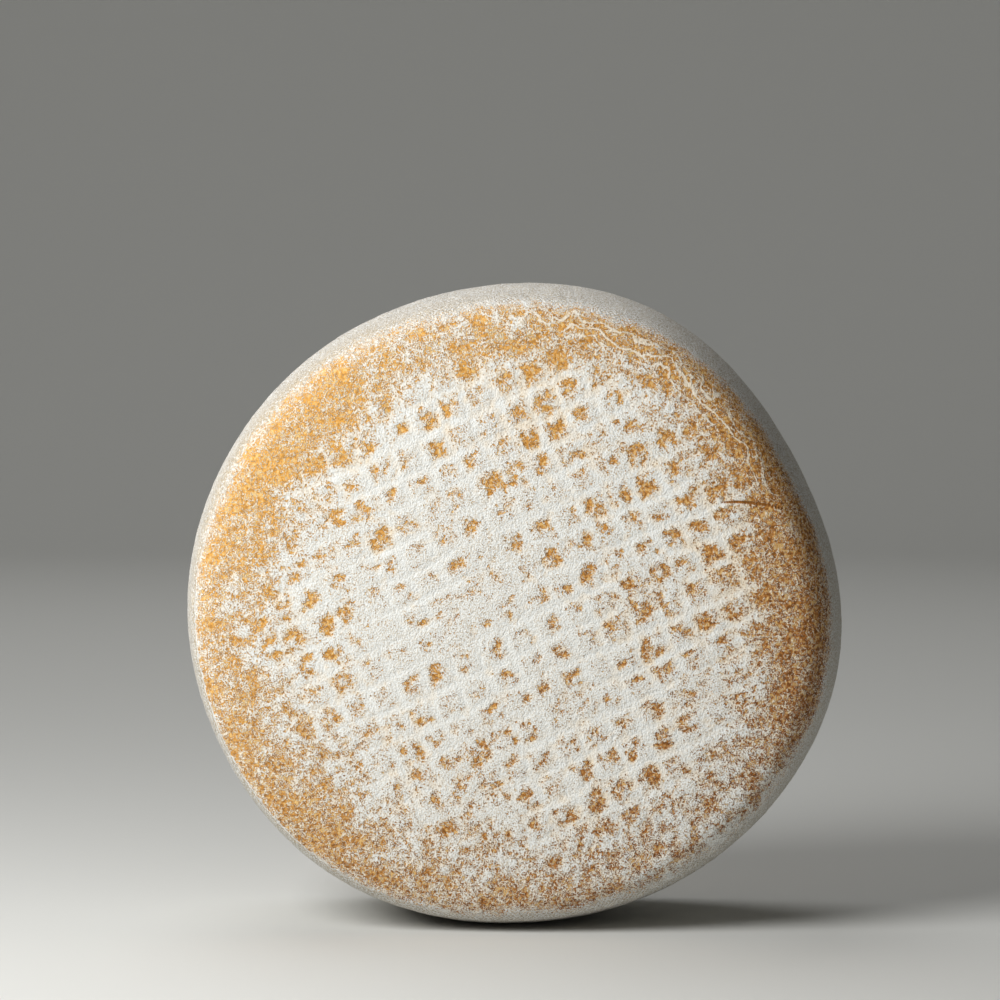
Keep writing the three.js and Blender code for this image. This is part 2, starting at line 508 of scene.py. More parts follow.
def half_profile(sizes):
    """Rings from a face's middle to the rim's, and the shoulder's corner.

    Each has its radius and its distance from the wheel's middle plane.
    """
    half = sizes.thickness / 2
    rim_start = (sizes.rim_radius - sizes.rim_bulge, half - sizes.shoulder_height)
    rim_slope = 2 * sizes.rim_bulge / rim_start[1]
    corner = (rim_start[0] - rim_slope * (sizes.shoulder_height - sizes.face_fall), half - sizes.face_fall)
    flat_edge = (sizes.flat_radius, half)
    face_edge = (corner[0] - sizes.shoulder_width, half - sizes.face_fall / 2)
    fall_bend = ((flat_edge[0] + face_edge[0]) / 2, half)
    rim_bend = (sizes.rim_radius + sizes.rim_bulge, 0)
    flat = np.linspace((0, half), flat_edge, FLAT_RINGS + 1)
    fall = quadratic(flat_edge, fall_bend, face_edge, FALL_RINGS)
    shoulder = quadratic(face_edge, corner, rim_start, SHOULDER_RINGS)
    rim = quadratic(rim_start, rim_bend, (rim_start[0], -rim_start[1]), 2 * RIM_RINGS)[:RIM_RINGS]
    return np.vstack([flat, fall, shoulder, rim]), np.array(corner)


def face_grid(rings):
    """Ring number and angle of each point of a square grid that is bent into a round face."""
    steps = np.arange(-rings, rings + 1)
    across, up = (part.ravel().astype(float) for part in np.meshgrid(steps, steps))
    ring = np.maximum(abs(across), abs(up))
    wide = abs(across) >= abs(up)
    along_side = np.where(wide, up, across) / np.where(ring == 0, 1, np.where(wide, across, up))
    side = np.where(wide, np.where(across < 0, math.pi, 0), np.where(up < 0, 1.5, 0.5) * math.pi)
    angle = side + np.where(wide, 1, -1) * math.pi / 4 * along_side
    return ring.astype(int), angle % (2 * math.pi)


class WheelBlank:
    """The smooth wheel: points by ring, angle and side, faces, and where each face lies on the bake map."""

    def __init__(self, sizes):
        self.profile, self.corner = half_profile(sizes)
        face_rings = FLAT_RINGS + FALL_RINGS
        self.turns = 8 * face_rings
        self.rings, self.angles, self.sides = [], [], []
        self.quads, self.turn_of_quad, self.on_rim = [], [], []
        self.count = 0
        equator = None
        for side in (-1, 1):
            edge = self.add_face(face_rings, side)
            for ring in range(face_rings + 1, len(self.profile)):
                last = ring == len(self.profile) - 1
                shared = last and equator is not None
                outer = equator if shared else self.add_ring(ring, side)
                self.add_band(edge, outer, side, ring > face_rings + SHOULDER_RINGS)
                edge = outer
            equator = edge
        self.ring = np.concatenate(self.rings)
        self.angle = np.concatenate(self.angles)
        self.side = np.concatenate(self.sides)
        self.quad = np.vstack(self.quads)
        self.quad_turn = np.concatenate(self.turn_of_quad)
        self.quad_on_rim = np.concatenate(self.on_rim)
        self.radius, self.height = self.profile[self.ring].T
        steps = np.linalg.norm(np.diff(self.profile, axis=0), axis=1)
        self.length = np.concatenate([[0], np.cumsum(steps)])

    def add_points(self, ring, angle, side):
        self.rings.append(ring)
        self.angles.append(angle)
        self.sides.append(np.full(len(ring), float(side)))
        start = self.count
        self.count += len(ring)
        return np.arange(start, self.count)

    def add_quads(self, quads, turns, side, on_rim):
        self.quads.append(quads if side < 0 else quads[:, ::-1])
        self.turn_of_quad.append(turns if side < 0 else turns[:, ::-1])
        self.on_rim.append(np.full(len(quads), on_rim))

    def add_face(self, rings, side):
        """A round face, and its edge points in order of angle."""
        ring, angle = face_grid(rings)
        points = self.add_points(ring, angle, side).reshape(2 * rings + 1, 2 * rings + 1)
        corners = (points[:-1, :-1], points[:-1, 1:], points[1:, 1:], points[1:, :-1])
        quads = np.stack(corners, axis=-1).reshape(-1, 4)
        self.add_quads(quads, np.zeros_like(quads), side, False)
        edge = points.ravel()[ring == rings]
        return edge[np.argsort(angle[ring == rings])]

    def add_ring(self, ring, side):
        angle = np.arange(self.turns) * 2 * math.pi / self.turns
        return self.add_points(np.full(self.turns, ring), angle, side)

    def add_band(self, inner, outer, side, on_rim):
        """The faces between two rings."""
        turn = np.arange(self.turns)
        quads = np.stack([inner, outer, np.roll(outer, -1), np.roll(inner, -1)], axis=-1)
        turns = np.stack([turn, turn, turn + 1, turn + 1], axis=-1)
        self.add_quads(quads, turns, side, on_rim)

    def from_corner(self):
        """Distance of each point from the shoulder's middle, along the surface: below zero on a face."""
        shoulder_middle = self.length[FLAT_RINGS + FALL_RINGS + SHOULDER_RINGS // 2]
        return self.length[self.ring] - shoulder_middle

    def points(self, sizes):
        """Where the hand-made wheel has each point, standing where the solid stands."""
        swell = sum(height * np.cos(waves * (self.angle - math.radians(crest)))
                    for waves, height, crest in OUTLINE_SWELLS) * MM
        height, crest, reach = SHOULDER_SWELL
        from_corner = np.hypot(self.radius - self.corner[0], self.height - self.corner[1])
        near_corner = np.exp(-(from_corner / (reach * MM)) ** 2)
        crisp = height * MM * near_corner * np.cos(self.angle - math.radians(crest))
        settled = self.radius * (1 + swell / sizes.rim_radius) + np.where(self.radius > 0, crisp, 0)
        x = settled * np.cos(self.angle)
        z = settled * np.sin(self.angle)
        low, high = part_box(WHEEL_NODE)
        self.axis = Vector(((low.x + high.x) / 2 - (x.min() + x.max()) / 2, 0, high.z - z.max()))
        return np.stack([x + self.axis.x, self.side * self.height, z + self.axis.z], axis=-1)

    def bake_map(self):
        """A place on the bake map for each corner of each face: two round faces and two strips of rim."""
        corner_ring = self.ring[self.quad]
        corner_angle = self.angle[self.quad]
        corner_side = self.side[self.quad]
        rim_from = self.length[FLAT_RINGS + FALL_RINGS + SHOULDER_RINGS]
        reach = self.length[corner_ring] / rim_from
        shown = (self.side[self.quad].min(axis=1) < 0)[:, None]
        centre_u, centre_v, disc = (
            np.where(shown, *pair) for pair in zip(SHOWN_FACE_ON_MAP, BACK_FACE_ON_MAP))
        u = centre_u + disc * reach * np.cos(corner_angle)
        v = centre_v + disc * reach * np.sin(corner_angle)
        from_equator = self.length[-1] - self.length[corner_ring]
        across = corner_side * from_equator / (2 * (self.length[-1] - rim_from))
        second = (self.quad_turn.min(axis=1) >= self.turns // 2)[:, None]
        along = self.quad_turn / (self.turns / 2) - second
        strip_u = STRIP_LEFT + STRIP_LENGTH * along
        strip_v = np.where(second, SECOND_STRIP_MIDDLE, FIRST_STRIP_MIDDLE) + STRIP_WIDTH * across
        on_rim = self.quad_on_rim[:, None]
        return np.stack([np.where(on_rim, strip_u, u), np.where(on_rim, strip_v, v)], axis=-1)


def turn_from(middle, angle):
    """The shorter turn from one angle in degrees to each angle in radians."""
    return (angle - math.radians(middle) + math.pi) % (2 * math.pi) - math.pi


def bareness(blank):
    """How bare the rind is at each point, from 0 to 1: little in the middle, more towards the shoulder."""
    radius = blank.radius / MM
    angle = np.where(blank.side < 0, blank.angle, math.pi - blank.angle + math.radians(BACK_TURN))
    bare = BARE_MIDDLE + BARE_EDGE * (np.minimum(radius, BARE_FULL_RADIUS) / BARE_EDGE_RADIUS) ** BARE_RISE
    for at, from_axis, half_length, half_width, amount in BARE_PATCHES:
        along = turn_from(at, angle) * from_axis / half_length
        across = (radius - from_axis) / half_width
        bare = bare + amount * np.exp(-along ** 2 - across ** 2)
    return np.clip(bare, 0, 1)


def near_angle(angle, middle, spread):
    """1 at one angle in degrees, falling off smoothly on both sides."""
    return np.exp(-(turn_from(middle, angle) / math.radians(spread)) ** 2)


def crack_distances(places):
    """Distance of each place in the plane of the faces from each point of the drying crack."""
    line = np.vstack([CRACK_LINE[0], quadratic(*CRACK_LINE, CRACK_STEPS)])
    return np.linalg.norm(places[:, None, :] - line[None], axis=-1)


def crack_depth(places):
    """How deep the drying crack is at each place on the shown face, from 0 to 1."""
    away = crack_distances(places)
    share = away.argmin(axis=1) / CRACK_STEPS
    half_width = CRACK_HALF_WIDTH * np.maximum(np.sqrt(1 - (2 * share - 1) ** 2), CRACK_NARROWEST)
    return np.clip(1 - away.min(axis=1) / half_width, 0, 1)


def near_crack(places, depth):
    """Which points of the shown face lie round the drying crack."""
    return (depth < 0) & np.all(abs(places - np.mean(CRACK_LINE, axis=0)) < CRACK_SEARCH, axis=1)


def add_attribute(mesh, name, values):
    """Stores one number for each point of a mesh."""
    mesh.attributes.new(name, "FLOAT", "POINT").data.foreach_set("value", np.asarray(values, np.float32))


def mesh_places(mesh, axis):
    """Places of a mesh's points in the plane of the faces, in millimetres from the axis, and their depth."""
    flat = np.empty(3 * len(mesh.vertices), np.float32)
    mesh.vertices.foreach_get("co", flat)
    points = flat.reshape(-1, 3).astype(float) - np.array(axis)
    return points[:, [0, 2]] / MM, points[:, 1]


def refine_near_crack(mesh, axis):
    """Closer mesh round the drying crack, so that its edges come out sharp."""
    places, depth = mesh_places(mesh, axis)
    near = near_crack(places, depth)
    away = crack_distances(places[near]).min(axis=1)
    chosen = set(np.flatnonzero(near)[away < CRACK_CLOSE_MESH])
    build = bmesh.new()
    build.from_mesh(mesh)
    edges = [e for e in build.edges if e.verts[0].index in chosen and e.verts[1].index in chosen]
    bmesh.ops.subdivide_edges(build, edges=edges, cuts=CRACK_MESH_CUTS, use_grid_fill=True)
    build.to_mesh(mesh)
    build.free()


def wheel_blank_mesh(sizes):
    """The smooth wheel as a mesh, with the numbers on it that the relief and the rind read, and its axis."""
    blank = WheelBlank(sizes)
    points = blank.points(sizes)
    mesh = bpy.data.meshes.new(WHEEL_PIECE)
    mesh.from_pydata(points.tolist(), [], blank.quad.tolist())
    mesh.uv_layers.new(name=BAKE_MAP).data.foreach_set("uv", blank.bake_map().astype(np.float32).ravel())
    from_corner = blank.from_corner() / MM
    add_attribute(mesh, "from_corner", from_corner)
    over = OVER_REACH * near_angle(blank.angle, OVER_ANGLE, OVER_SPREAD)
    add_attribute(mesh, "past_edge", from_corner - over)
    in_lace = np.exp(-((from_corner + LACE_INSIDE) / LACE_WIDTH) ** 2)
    add_attribute(mesh, "laced", in_lace * near_angle(blank.angle, LACE_ANGLE, LACE_SPREAD))
    add_attribute(mesh, "bare", bareness(blank))
    # Darker and browner towards one side of the wheel: partly browner skin, partly painted shade
    towards_shade_and_brown = blank.radius / MM / SHADE_AND_BROWN_RADIUS * np.cos(blank.angle - math.radians(SHADE_AND_BROWN_ANGLE))
    add_attribute(mesh, "browned_and_shaded", np.clip(SHADE_AND_BROWN_MIDDLE + SHADE_AND_BROWN_RISE * towards_shade_and_brown, 0, 1))
    cells_within = CELLS_WITHIN + CELLS_FURTHER * near_angle(blank.angle, CELLS_ANGLE, CELLS_SPREAD)
    add_attribute(mesh, "loose", np.clip((blank.radius / MM - cells_within) / CELLS_FADE, 0, 1))
    on_stain = np.exp(-(np.maximum(from_corner, 0) / STAIN_WIDTH) ** 2)
    add_attribute(mesh, "stained", on_stain * near_angle(blank.angle, STAIN_ANGLE, STAIN_SPREAD))
    on_lip = np.exp(-(from_corner / LIP_WIDTH) ** 2)
    lipped = near_angle(blank.angle, LIP_ANGLE, LIP_SPREAD)
    add_attribute(mesh, "lipped", lipped)
    add_attribute(mesh, "lip", on_lip * lipped)
    on_shoulder = np.exp(-(from_corner / WRINKLE_WIDTH) ** 2)
    add_attribute(mesh, "wrinkled", on_shoulder * near_angle(blank.angle, WRINKLE_ANGLE, WRINKLE_SPREAD))
    refine_near_crack(mesh, blank.axis)
    places, depth = mesh_places(mesh, blank.axis)
    cracked = np.zeros(len(places))
    near = near_crack(places, depth)
    cracked[near] = crack_depth(places[near])
    add_attribute(mesh, "cracked", cracked)
    return mesh, blank.axis


def relief_tree():
    """Geometry nodes that press the rack's marks into both faces and raise the mould, lumps and folds."""
    tree = bpy.data.node_groups.new("Rind relief", "GeometryNodeTree")
    tree.is_modifier = True
    tree.interface.new_socket("Geometry", in_out="INPUT", socket_type="NodeSocketGeometry")
    tree.interface.new_socket("Geometry", in_out="OUTPUT", socket_type="NodeSocketGeometry")
    tree.interface.new_socket("Axis", in_out="INPUT", socket_type="NodeSocketVector")
    for name in RELIEF_SIZES:
        tree.interface.new_socket(name, in_out="INPUT", socket_type="NodeSocketFloat")
    tree.interface.new_socket("Rind", in_out="INPUT", socket_type="NodeSocketMaterial")
    size = put(tree, "NodeGroupInput", {}).node.outputs
    stored = {}
    for name in ("bare", "loose", "lip", "wrinkled", "cracked", "from_corner"):
        stored[name] = put(tree, "GeometryNodeInputNamedAttribute", {"Name": name}, data_type="FLOAT")

    position = put(tree, "GeometryNodeInputPosition", {})
    place = put(tree, "ShaderNodeVectorMath", {0: position, 1: size["Axis"]}, operation="SUBTRACT")
    flat_place = put(tree, "ShaderNodeVectorMath", {0: place, 1: (1, 0, 1)}, operation="MULTIPLY")
    radius = put(tree, "ShaderNodeVectorMath", {0: flat_place}, output=1, operation="LENGTH")
    depth = put(tree, "ShaderNodeSeparateXYZ", {0: place}, output=1)
    side = put(tree, "ShaderNodeMath", {0: depth}, operation="SIGN")

    noise = {}
    for name, grain, detail in RELIEF_NOISES:
        value = put(
            tree, "ShaderNodeTexNoise",
            {"Vector": place, "W": size["seed"], "Scale": 1 / (grain * MM), "Detail": detail},
            noise_dimensions="4D")
        noise[name] = put(tree, "ShaderNodeMath", {0: value, 1: NOISE_MEAN}, operation="SUBTRACT")

    # The wires' marks: distance from the nearest wire of each family, and the cell between the wires
    turned = put(
        tree, "ShaderNodeVectorRotate", {"Vector": place, "Axis": (0, 1, 0), "Angle": size["wire_angle"]},
        rotation_type="AXIS_ANGLE")
    half_pitch = put(tree, "ShaderNodeMath", {0: size["wire_pitch"], 1: 0.5}, operation="MULTIPLY")
    cells, marks, wires = [], [], []
    for family, coordinate in (("first", "Z"), ("second", "X")):
        along = put(tree, "ShaderNodeSeparateXYZ", {0: turned}, output=coordinate)
        shift = put(
            tree, "ShaderNodeMath", {0: size[family + "_wire_shift"], 1: side}, operation="MULTIPLY")
        from_wire = put(tree, "ShaderNodeMath", {0: along, 1: shift}, operation="SUBTRACT")
        from_wire = put(
            tree, "ShaderNodeMath",
            {0: noise["press"], 1: WIRE_WANDER, 2: from_wire}, operation="MULTIPLY_ADD")
        wires.append(from_wire)
        away = put(tree, "ShaderNodeMath", {0: from_wire, 1: half_pitch}, operation="PINGPONG")
        mark = put(
            tree, "ShaderNodeMapRange",
            {"Value": away, "From Max": size["mark_half_width"], "To Min": 1.0, "To Max": 0.0},
            interpolation_type="SMOOTHSTEP")
        marks.append(put(
            tree, "ShaderNodeMath", {0: mark, 1: size[family + "_mark_depth"]}, operation="MULTIPLY"))
        cells.append(put(tree, "ShaderNodeMath", {0: from_wire, 1: size["wire_pitch"]}, operation="DIVIDE"))
    runs_out = put(tree, "ShaderNodeMath", {0: size["mark_radius"], 1: MARK_FADE}, operation="ADD")
    reach = put(
        tree, "ShaderNodeMapRange",
        {"Value": radius, "From Min": size["mark_radius"], "From Max": runs_out,
         "To Min": 1.0, "To Max": 0.0},
        interpolation_type="SMOOTHSTEP")
    pressed = put(
        tree, "ShaderNodeMapRange",
        {"Value": noise["press"], "From Min": PRESS_FAINT, "From Max": PRESS_FULL, "To Min": PRESS_LEAST},
        interpolation_type="SMOOTHSTEP")
    reach = put(tree, "ShaderNodeMath", {0: reach, 1: pressed}, operation="MULTIPLY")
    mark_depth = put(tree, "ShaderNodeMath", {0: marks[0], 1: marks[1]}, operation="MAXIMUM")
    mark_depth = put(tree, "ShaderNodeMath", {0: mark_depth, 1: reach}, operation="MULTIPLY")

    # The mould is rubbed off between the marks in ragged spots, in some cells more than in others
    in_rack = put(tree, "ShaderNodeCombineXYZ", {0: cells[0], 1: cells[1], 2: side})
    cell = put(tree, "ShaderNodeVectorMath", {0: in_rack}, operation="FLOOR")
    chance = put(
        tree, "ShaderNodeTexWhiteNoise", {"Vector": cell, "W": size["seed"]}, output="Color",
        noise_dimensions="4D")
    draw = put(tree, "ShaderNodeSeparateXYZ", {0: chance}, output="Z")
    girth = chance.node.outputs["Value"]
    stray = put(tree, "ShaderNodeVectorMath", {0: chance, 1: CELL_MIDDLE}, operation="SUBTRACT")
    stray = put(
        tree, "ShaderNodeVectorMath", {0: stray, 1: (SPOT_STRAY, SPOT_STRAY, 0.0)}, operation="MULTIPLY")
    from_spot = put(tree, "ShaderNodeVectorMath", {0: in_rack, 1: cell}, operation="SUBTRACT")
    from_spot = put(tree, "ShaderNodeVectorMath", {0: from_spot, 1: CELL_MIDDLE}, operation="SUBTRACT")
    from_spot = put(
        tree, "ShaderNodeVectorMath", {0: from_spot, "Scale": size["wire_pitch"]}, operation="SCALE")
    from_spot = put(tree, "ShaderNodeVectorMath", {0: from_spot, 1: stray}, operation="SUBTRACT")
    from_spot = put(tree, "ShaderNodeVectorMath", {0: from_spot}, operation="ABSOLUTE")
    from_spot = put(
        tree, "ShaderNodeVectorMath", {0: from_spot, 1: (SPOT_SIDE, SPOT_SIDE, 1.0)}, operation="SUBTRACT")
    from_spot = put(tree, "ShaderNodeVectorMath", {0: from_spot, 1: (0.0, 0.0, 0.0)}, operation="MAXIMUM")
    from_spot = put(tree, "ShaderNodeVectorMath", {0: from_spot}, output=1, operation="LENGTH")
    for layer, amount in ((noise["crumbs"], SPOT_RAGGED), (girth, SPOT_SPREAD)):
        from_spot = put(
            tree, "ShaderNodeMath", {0: layer, 1: amount, 2: from_spot}, operation="MULTIPLY_ADD")
    in_spot = put(
        tree, "ShaderNodeMapRange",
        {"Value": from_spot, "From Min": SPOT_SPREAD / 2, "From Max": SPOT_SPREAD / 2 + SPOT_EDGE,
         "To Min": 1.0, "To Max": 0.0},
        interpolation_type="SMOOTHSTEP")
    drive = put(tree, "ShaderNodeMath", {0: draw, 1: SPOT_CHANCE, 2: -SPOT_LESS}, operation="MULTIPLY_ADD")
    for layer, amount in ((noise["lobes"], SPOT_LOBES), (stored["bare"], SPOT_WITH_BARE)):
        drive = put(tree, "ShaderNodeMath", {0: layer, 1: amount, 2: drive}, operation="MULTIPLY_ADD")
    spot = put(tree, "ShaderNodeMapRange", {"Value": drive, "To Max": SPOT_BARE})
    in_cell = put(tree, "ShaderNodeMath", {0: spot, 1: in_spot}, operation="MULTIPLY")
    for layer, amount in ((stored["bare"], CELL_GROUND), (noise["lobes"], CELL_LOBES)):
        in_cell = put(tree, "ShaderNodeMath", {0: layer, 1: amount, 2: in_cell}, operation="MULTIPLY_ADD")

    # Further out the mould lies in loose grains, and the cells are lost in them
    lobed = put(
        tree, "ShaderNodeMapRange",
        {"Value": stored["bare"], "From Min": BAND_FROM, "From Max": BAND_FULL,
         "To Min": EDGE_LOBES, "To Max": BAND_LOBES})
    at_edge = stored["bare"]
    for name, amount in (("lobes", lobed), ("blots", EDGE_BLOTS), ("lumps", EDGE_PATCHES)):
        at_edge = put(
            tree, "ShaderNodeMath", {0: noise[name], 1: amount, 2: at_edge}, operation="MULTIPLY_ADD")
    bare = put(tree, "ShaderNodeMix", {0: stored["loose"], 2: in_cell, 3: at_edge}, data_type="FLOAT")
    mould = put(tree, "ShaderNodeMath", {0: 1.0, 1: bare}, operation="SUBTRACT", use_clamp=True)
    whole = put(tree, "ShaderNodeMath", {0: 1.0, 1: stored["loose"]}, operation="SUBTRACT")
    pressed = put(tree, "ShaderNodeMath", {0: reach, 1: whole}, operation="MULTIPLY")
    marked = size["Geometry"]
    for name, value in (
        ("mould", mould), ("pressed", pressed), ("first_wire", wires[0]), ("second_wire", wires[1]),
    ):
        marked = put(
            tree, "GeometryNodeStoreNamedAttribute", {"Geometry": marked, "Name": name, "Value": value},
            data_type="FLOAT", domain="POINT")

    # The height of the surface, one layer on the other
    across_fold = put(
        tree, "ShaderNodeMath", {0: stored["from_corner"], 1: 1 / FOLD_WIDTH}, operation="MULTIPLY")
    fold_along = put(
        tree, "ShaderNodeVectorMath", {0: flat_place, "Scale": 1 / FOLD_LENGTH}, operation="SCALE")
    fold_across = put(tree, "ShaderNodeCombineXYZ", {1: across_fold})
    fold_place = put(tree, "ShaderNodeVectorMath", {0: fold_along, 1: fold_across}, operation="ADD")
    folds = put(
        tree, "ShaderNodeTexNoise",
        {"Vector": fold_place, "W": size["seed"], "Scale": 1.0, "Detail": FOLD_DETAIL,
         "Distortion": FOLD_DISTORTION},
        noise_dimensions="4D")
    fold_height = put(tree, "ShaderNodeMath", {0: folds, 1: stored["wrinkled"]}, operation="MULTIPLY")
    height = put(tree, "ShaderNodeMath", {0: mould, 1: size["crust_height"]}, operation="MULTIPLY")
    for layer, amount in (
        (noise["lumps"], "lump_height"), (noise["crumbs"], "crumb_height"), (stored["lip"], "lip_height"),
        (fold_height, "wrinkle_height"),
    ):
        height = put(
            tree, "ShaderNodeMath", {0: layer, 1: size[amount], 2: height}, operation="MULTIPLY_ADD")
    height = put(tree, "ShaderNodeMath", {0: height, 1: mark_depth}, operation="SUBTRACT")
    height = put(
        tree, "ShaderNodeMath",
        {0: stored["cracked"], 1: -CRACK_DEPTH * MM, 2: height}, operation="MULTIPLY_ADD")
    height = put(tree, "ShaderNodeMath", {0: height, 1: RELIEF_LEVEL}, operation="SUBTRACT")
    normal = put(tree, "GeometryNodeInputNormal", {})
    offset = put(tree, "ShaderNodeVectorMath", {0: normal, "Scale": height}, operation="SCALE")
    raised = put(tree, "GeometryNodeSetPosition", {"Geometry": marked, "Offset": offset})

    # The rim settles flat where the wheel stands
    position = put(tree, "GeometryNodeInputPosition", {})
    spread = put(tree, "ShaderNodeSeparateXYZ", {0: position}).node.outputs
    on_ground = put(tree, "ShaderNodeMath", {0: spread["Z"], 1: 0.0}, operation="MAXIMUM")
    standing = put(tree, "ShaderNodeCombineXYZ", {0: spread["X"], 1: spread["Y"], 2: on_ground})
    settled = put(tree, "GeometryNodeSetPosition", {"Geometry": raised, "Position": standing})
    smooth = put(tree, "GeometryNodeSetShadeSmooth", {"Geometry": settled})
    real = put(tree, "GeometryNodeRealizeInstances", {"Geometry": smooth})
    finished = put(tree, "GeometryNodeSetMaterial", {"Geometry": real, "Material": size["Rind"]})
    tree.links.new(finished, tree.nodes.new("NodeGroupOutput").inputs["Geometry"])
    return tree


def rind_material(sizes, colours, axis):
    """Natural rind: a waxy ochre skin, washed and dried, with a dry white mould that grew on it.

    The mould lies like chalk dust, rough and nearly white, and is rubbed away in grains, so the warm skin
    shows between them. The rim carries the weave of the cloth that the curd was pressed in.
    """
    material = bpy.data.materials.new("natural_rind_with_white_mould")
    material.use_nodes = True
    tree = material.node_tree
    shader = tree.nodes["Principled BSDF"]
    place = put(tree, "ShaderNodeTexCoord", {}, output="Object")
    stored = {}
    for name in (
        "mould", "pressed", "first_wire", "second_wire", "loose", "browned_and_shaded", "from_corner", "past_edge",
        "laced", "lipped", "stained", "cracked",
    ):
        stored[name] = put(tree, "ShaderNodeAttribute", {}, output="Fac", attribute_name=name)
    noise = {}
    for name, size, detail in RIND_NOISES:
        noise[name] = put(
            tree, "ShaderNodeTexNoise",
            {"Vector": place, "Scale": 1 / (size * MM), "Detail": detail,
             "Roughness": RIND_NOISE_ROUGHNESS})
    grain_colour = noise["grain"].node.outputs["Color"]
    speckle = put(tree, "ShaderNodeSeparateColor", {0: grain_colour}, output="Green")

    # The mould's grains: the less mould there is, the fewer of them are left
    grains = 0.0
    for name, in_cells, in_loose in GRAIN_SHARES:
        share = put(
            tree, "ShaderNodeMapRange", {"Value": stored["loose"], "To Min": in_cells, "To Max": in_loose})
        grains = put(
            tree, "ShaderNodeMath", {0: noise[name], 1: share, 2: grains}, operation="MULTIPLY_ADD")
    level = put(
        tree, "ShaderNodeMath",
        {0: stored["mould"], 1: LEVEL_MOULD, 2: LEVEL_BARE}, operation="MULTIPLY_ADD")

    # Whole lines of mould along the wires' marks, and worm-like threads between the grains
    line = 0.0
    for name in ("first_wire", "second_wire"):
        away = put(tree, "ShaderNodeMath", {0: stored[name], 1: sizes.wire_pitch / 2}, operation="PINGPONG")
        along = put(
            tree, "ShaderNodeMapRange",
            {"Value": away, "From Min": LINE_WHOLE, "From Max": LINE_GONE, "To Min": 1.0, "To Max": 0.0})
        line = put(tree, "ShaderNodeMath", {0: along, 1: line}, operation="MAXIMUM")
    line = put(tree, "ShaderNodeMath", {0: line, 1: stored["pressed"]}, operation="MULTIPLY")
    threads = put(
        tree, "ShaderNodeMath",
        {0: noise["clump"], 1: CLUMP_THREAD, 2: CLUMP_THREAD_HALF}, operation="COMPARE")
    net = put(
        tree, "ShaderNodeMath",
        {0: noise["grain"], 1: GRAIN_THREAD, 2: GRAIN_THREAD_HALF}, operation="COMPARE")
    threads = put(
        tree, "ShaderNodeMath", {0: net, 1: GRAIN_THREAD_SHARE, 2: threads}, operation="MULTIPLY_ADD")
    for layer, amount in ((line, LEVEL_LINES), (threads, LEVEL_THREADS)):
        level = put(tree, "ShaderNodeMath", {0: layer, 1: amount, 2: level}, operation="MULTIPLY_ADD")

    # A lace of thicker threads that runs along the shoulder on one side
    wave = stored["from_corner"]
    for name, amount in (("patch", LACE_SWAY), ("clump", LACE_CURL)):
        wave = put(tree, "ShaderNodeMath", {0: noise[name], 1: amount, 2: wave}, operation="MULTIPLY_ADD")
    lace = put(tree, "ShaderNodeMath", {0: wave, 1: LACE_HALF_SPACING}, operation="PINGPONG")
    lace = put(
        tree, "ShaderNodeMapRange",
        {"Value": lace, "From Min": LACE_THREAD_WHOLE, "From Max": LACE_THREAD_GONE,
         "To Min": LEVEL_LACE, "To Max": 0.0})
    level = put(tree, "ShaderNodeMath", {0: lace, 1: stored["laced"], 2: level}, operation="MULTIPLY_ADD")
    over = put(tree, "ShaderNodeMath", {0: level, 1: grains}, operation="SUBTRACT")
    bloom = put(tree, "ShaderNodeMapRange", {"Value": over, "From Min": BLOOM_FROM, "From Max": BLOOM_FULL})

    # The weave of the cloth round the rim
    wheel = put(
        tree, "ShaderNodeMapping", {"Vector": place, "Location": axis, "Scale": (MM, MM, MM)},
        vector_type="TEXTURE")
    in_wheel = put(tree, "ShaderNodeSeparateXYZ", {0: wheel}).node.outputs
    wheel_angle = put(tree, "ShaderNodeMath", {0: in_wheel["Z"], 1: in_wheel["X"]}, operation="ARCTAN2")
    round_rim = round(2 * math.pi * sizes.rim_radius / (CLOTH_PITCH * MM))
    weave = []
    for along, turns in ((wheel_angle, round_rim), (in_wheel["Y"], 2 * math.pi / CLOTH_PITCH)):
        wave = put(tree, "ShaderNodeMath", {0: along, 1: turns}, operation="MULTIPLY")
        weave.append(put(tree, "ShaderNodeMath", {0: wave}, operation="SINE"))
    cloth = put(tree, "ShaderNodeMath", {0: weave[0], 1: weave[1]}, operation="MULTIPLY")

    # Colours of the bare skin, drawn darker and browner towards one side: partly browner rind, partly painted
    # shade
    skin = put(
        tree, "ShaderNodeMix", {0: stored["browned_and_shaded"], 6: colours.ochre, 7: colours.copper_and_shade}, **COLOUR_MIX)
    for speckles, most, colour in (
        (UMBER_SPECKLE, UMBER_MOST, colours.umber), (STRAW_SPECKLE, STRAW_MOST, colours.straw),
    ):
        strongest = put(
            tree, "ShaderNodeMapRange", {"Value": stored["browned_and_shaded"], "To Min": most[0], "To Max": most[1]})
        share = put(
            tree, "ShaderNodeMapRange",
            {"Value": speckle, "From Min": speckles[0], "From Max": speckles[1], "To Max": strongest})
        skin = put(tree, "ShaderNodeMix", {0: share, 6: skin, 7: colour}, **COLOUR_MIX)

    # Colours of the mould, thin in places and warm where little of it is left
    strongest = put(
        tree, "ShaderNodeMapRange", {"Value": line, "To Min": THIN_MOST[0], "To Max": THIN_MOST[1]})
    thin = put(
        tree, "ShaderNodeMapRange",
        {"Value": noise["fine"], "From Min": THIN_GRAINS[0], "From Max": THIN_GRAINS[1],
         "To Max": strongest})
    warm = put(
        tree, "ShaderNodeMapRange",
        {"Value": stored["mould"], "From Min": WARM_WITH_MOULD[0], "From Max": WARM_WITH_MOULD[1],
         "To Max": WARM_MOST})
    chalk = put(tree, "ShaderNodeMix", {0: thin, 6: colours.mould, 7: colours.thin_mould}, **COLOUR_MIX)
    chalk = put(tree, "ShaderNodeMix", {0: warm, 6: chalk, 7: colours.warm_mould}, **COLOUR_MIX)
    face = put(tree, "ShaderNodeMix", {0: bloom, 6: skin, 7: chalk}, **COLOUR_MIX)

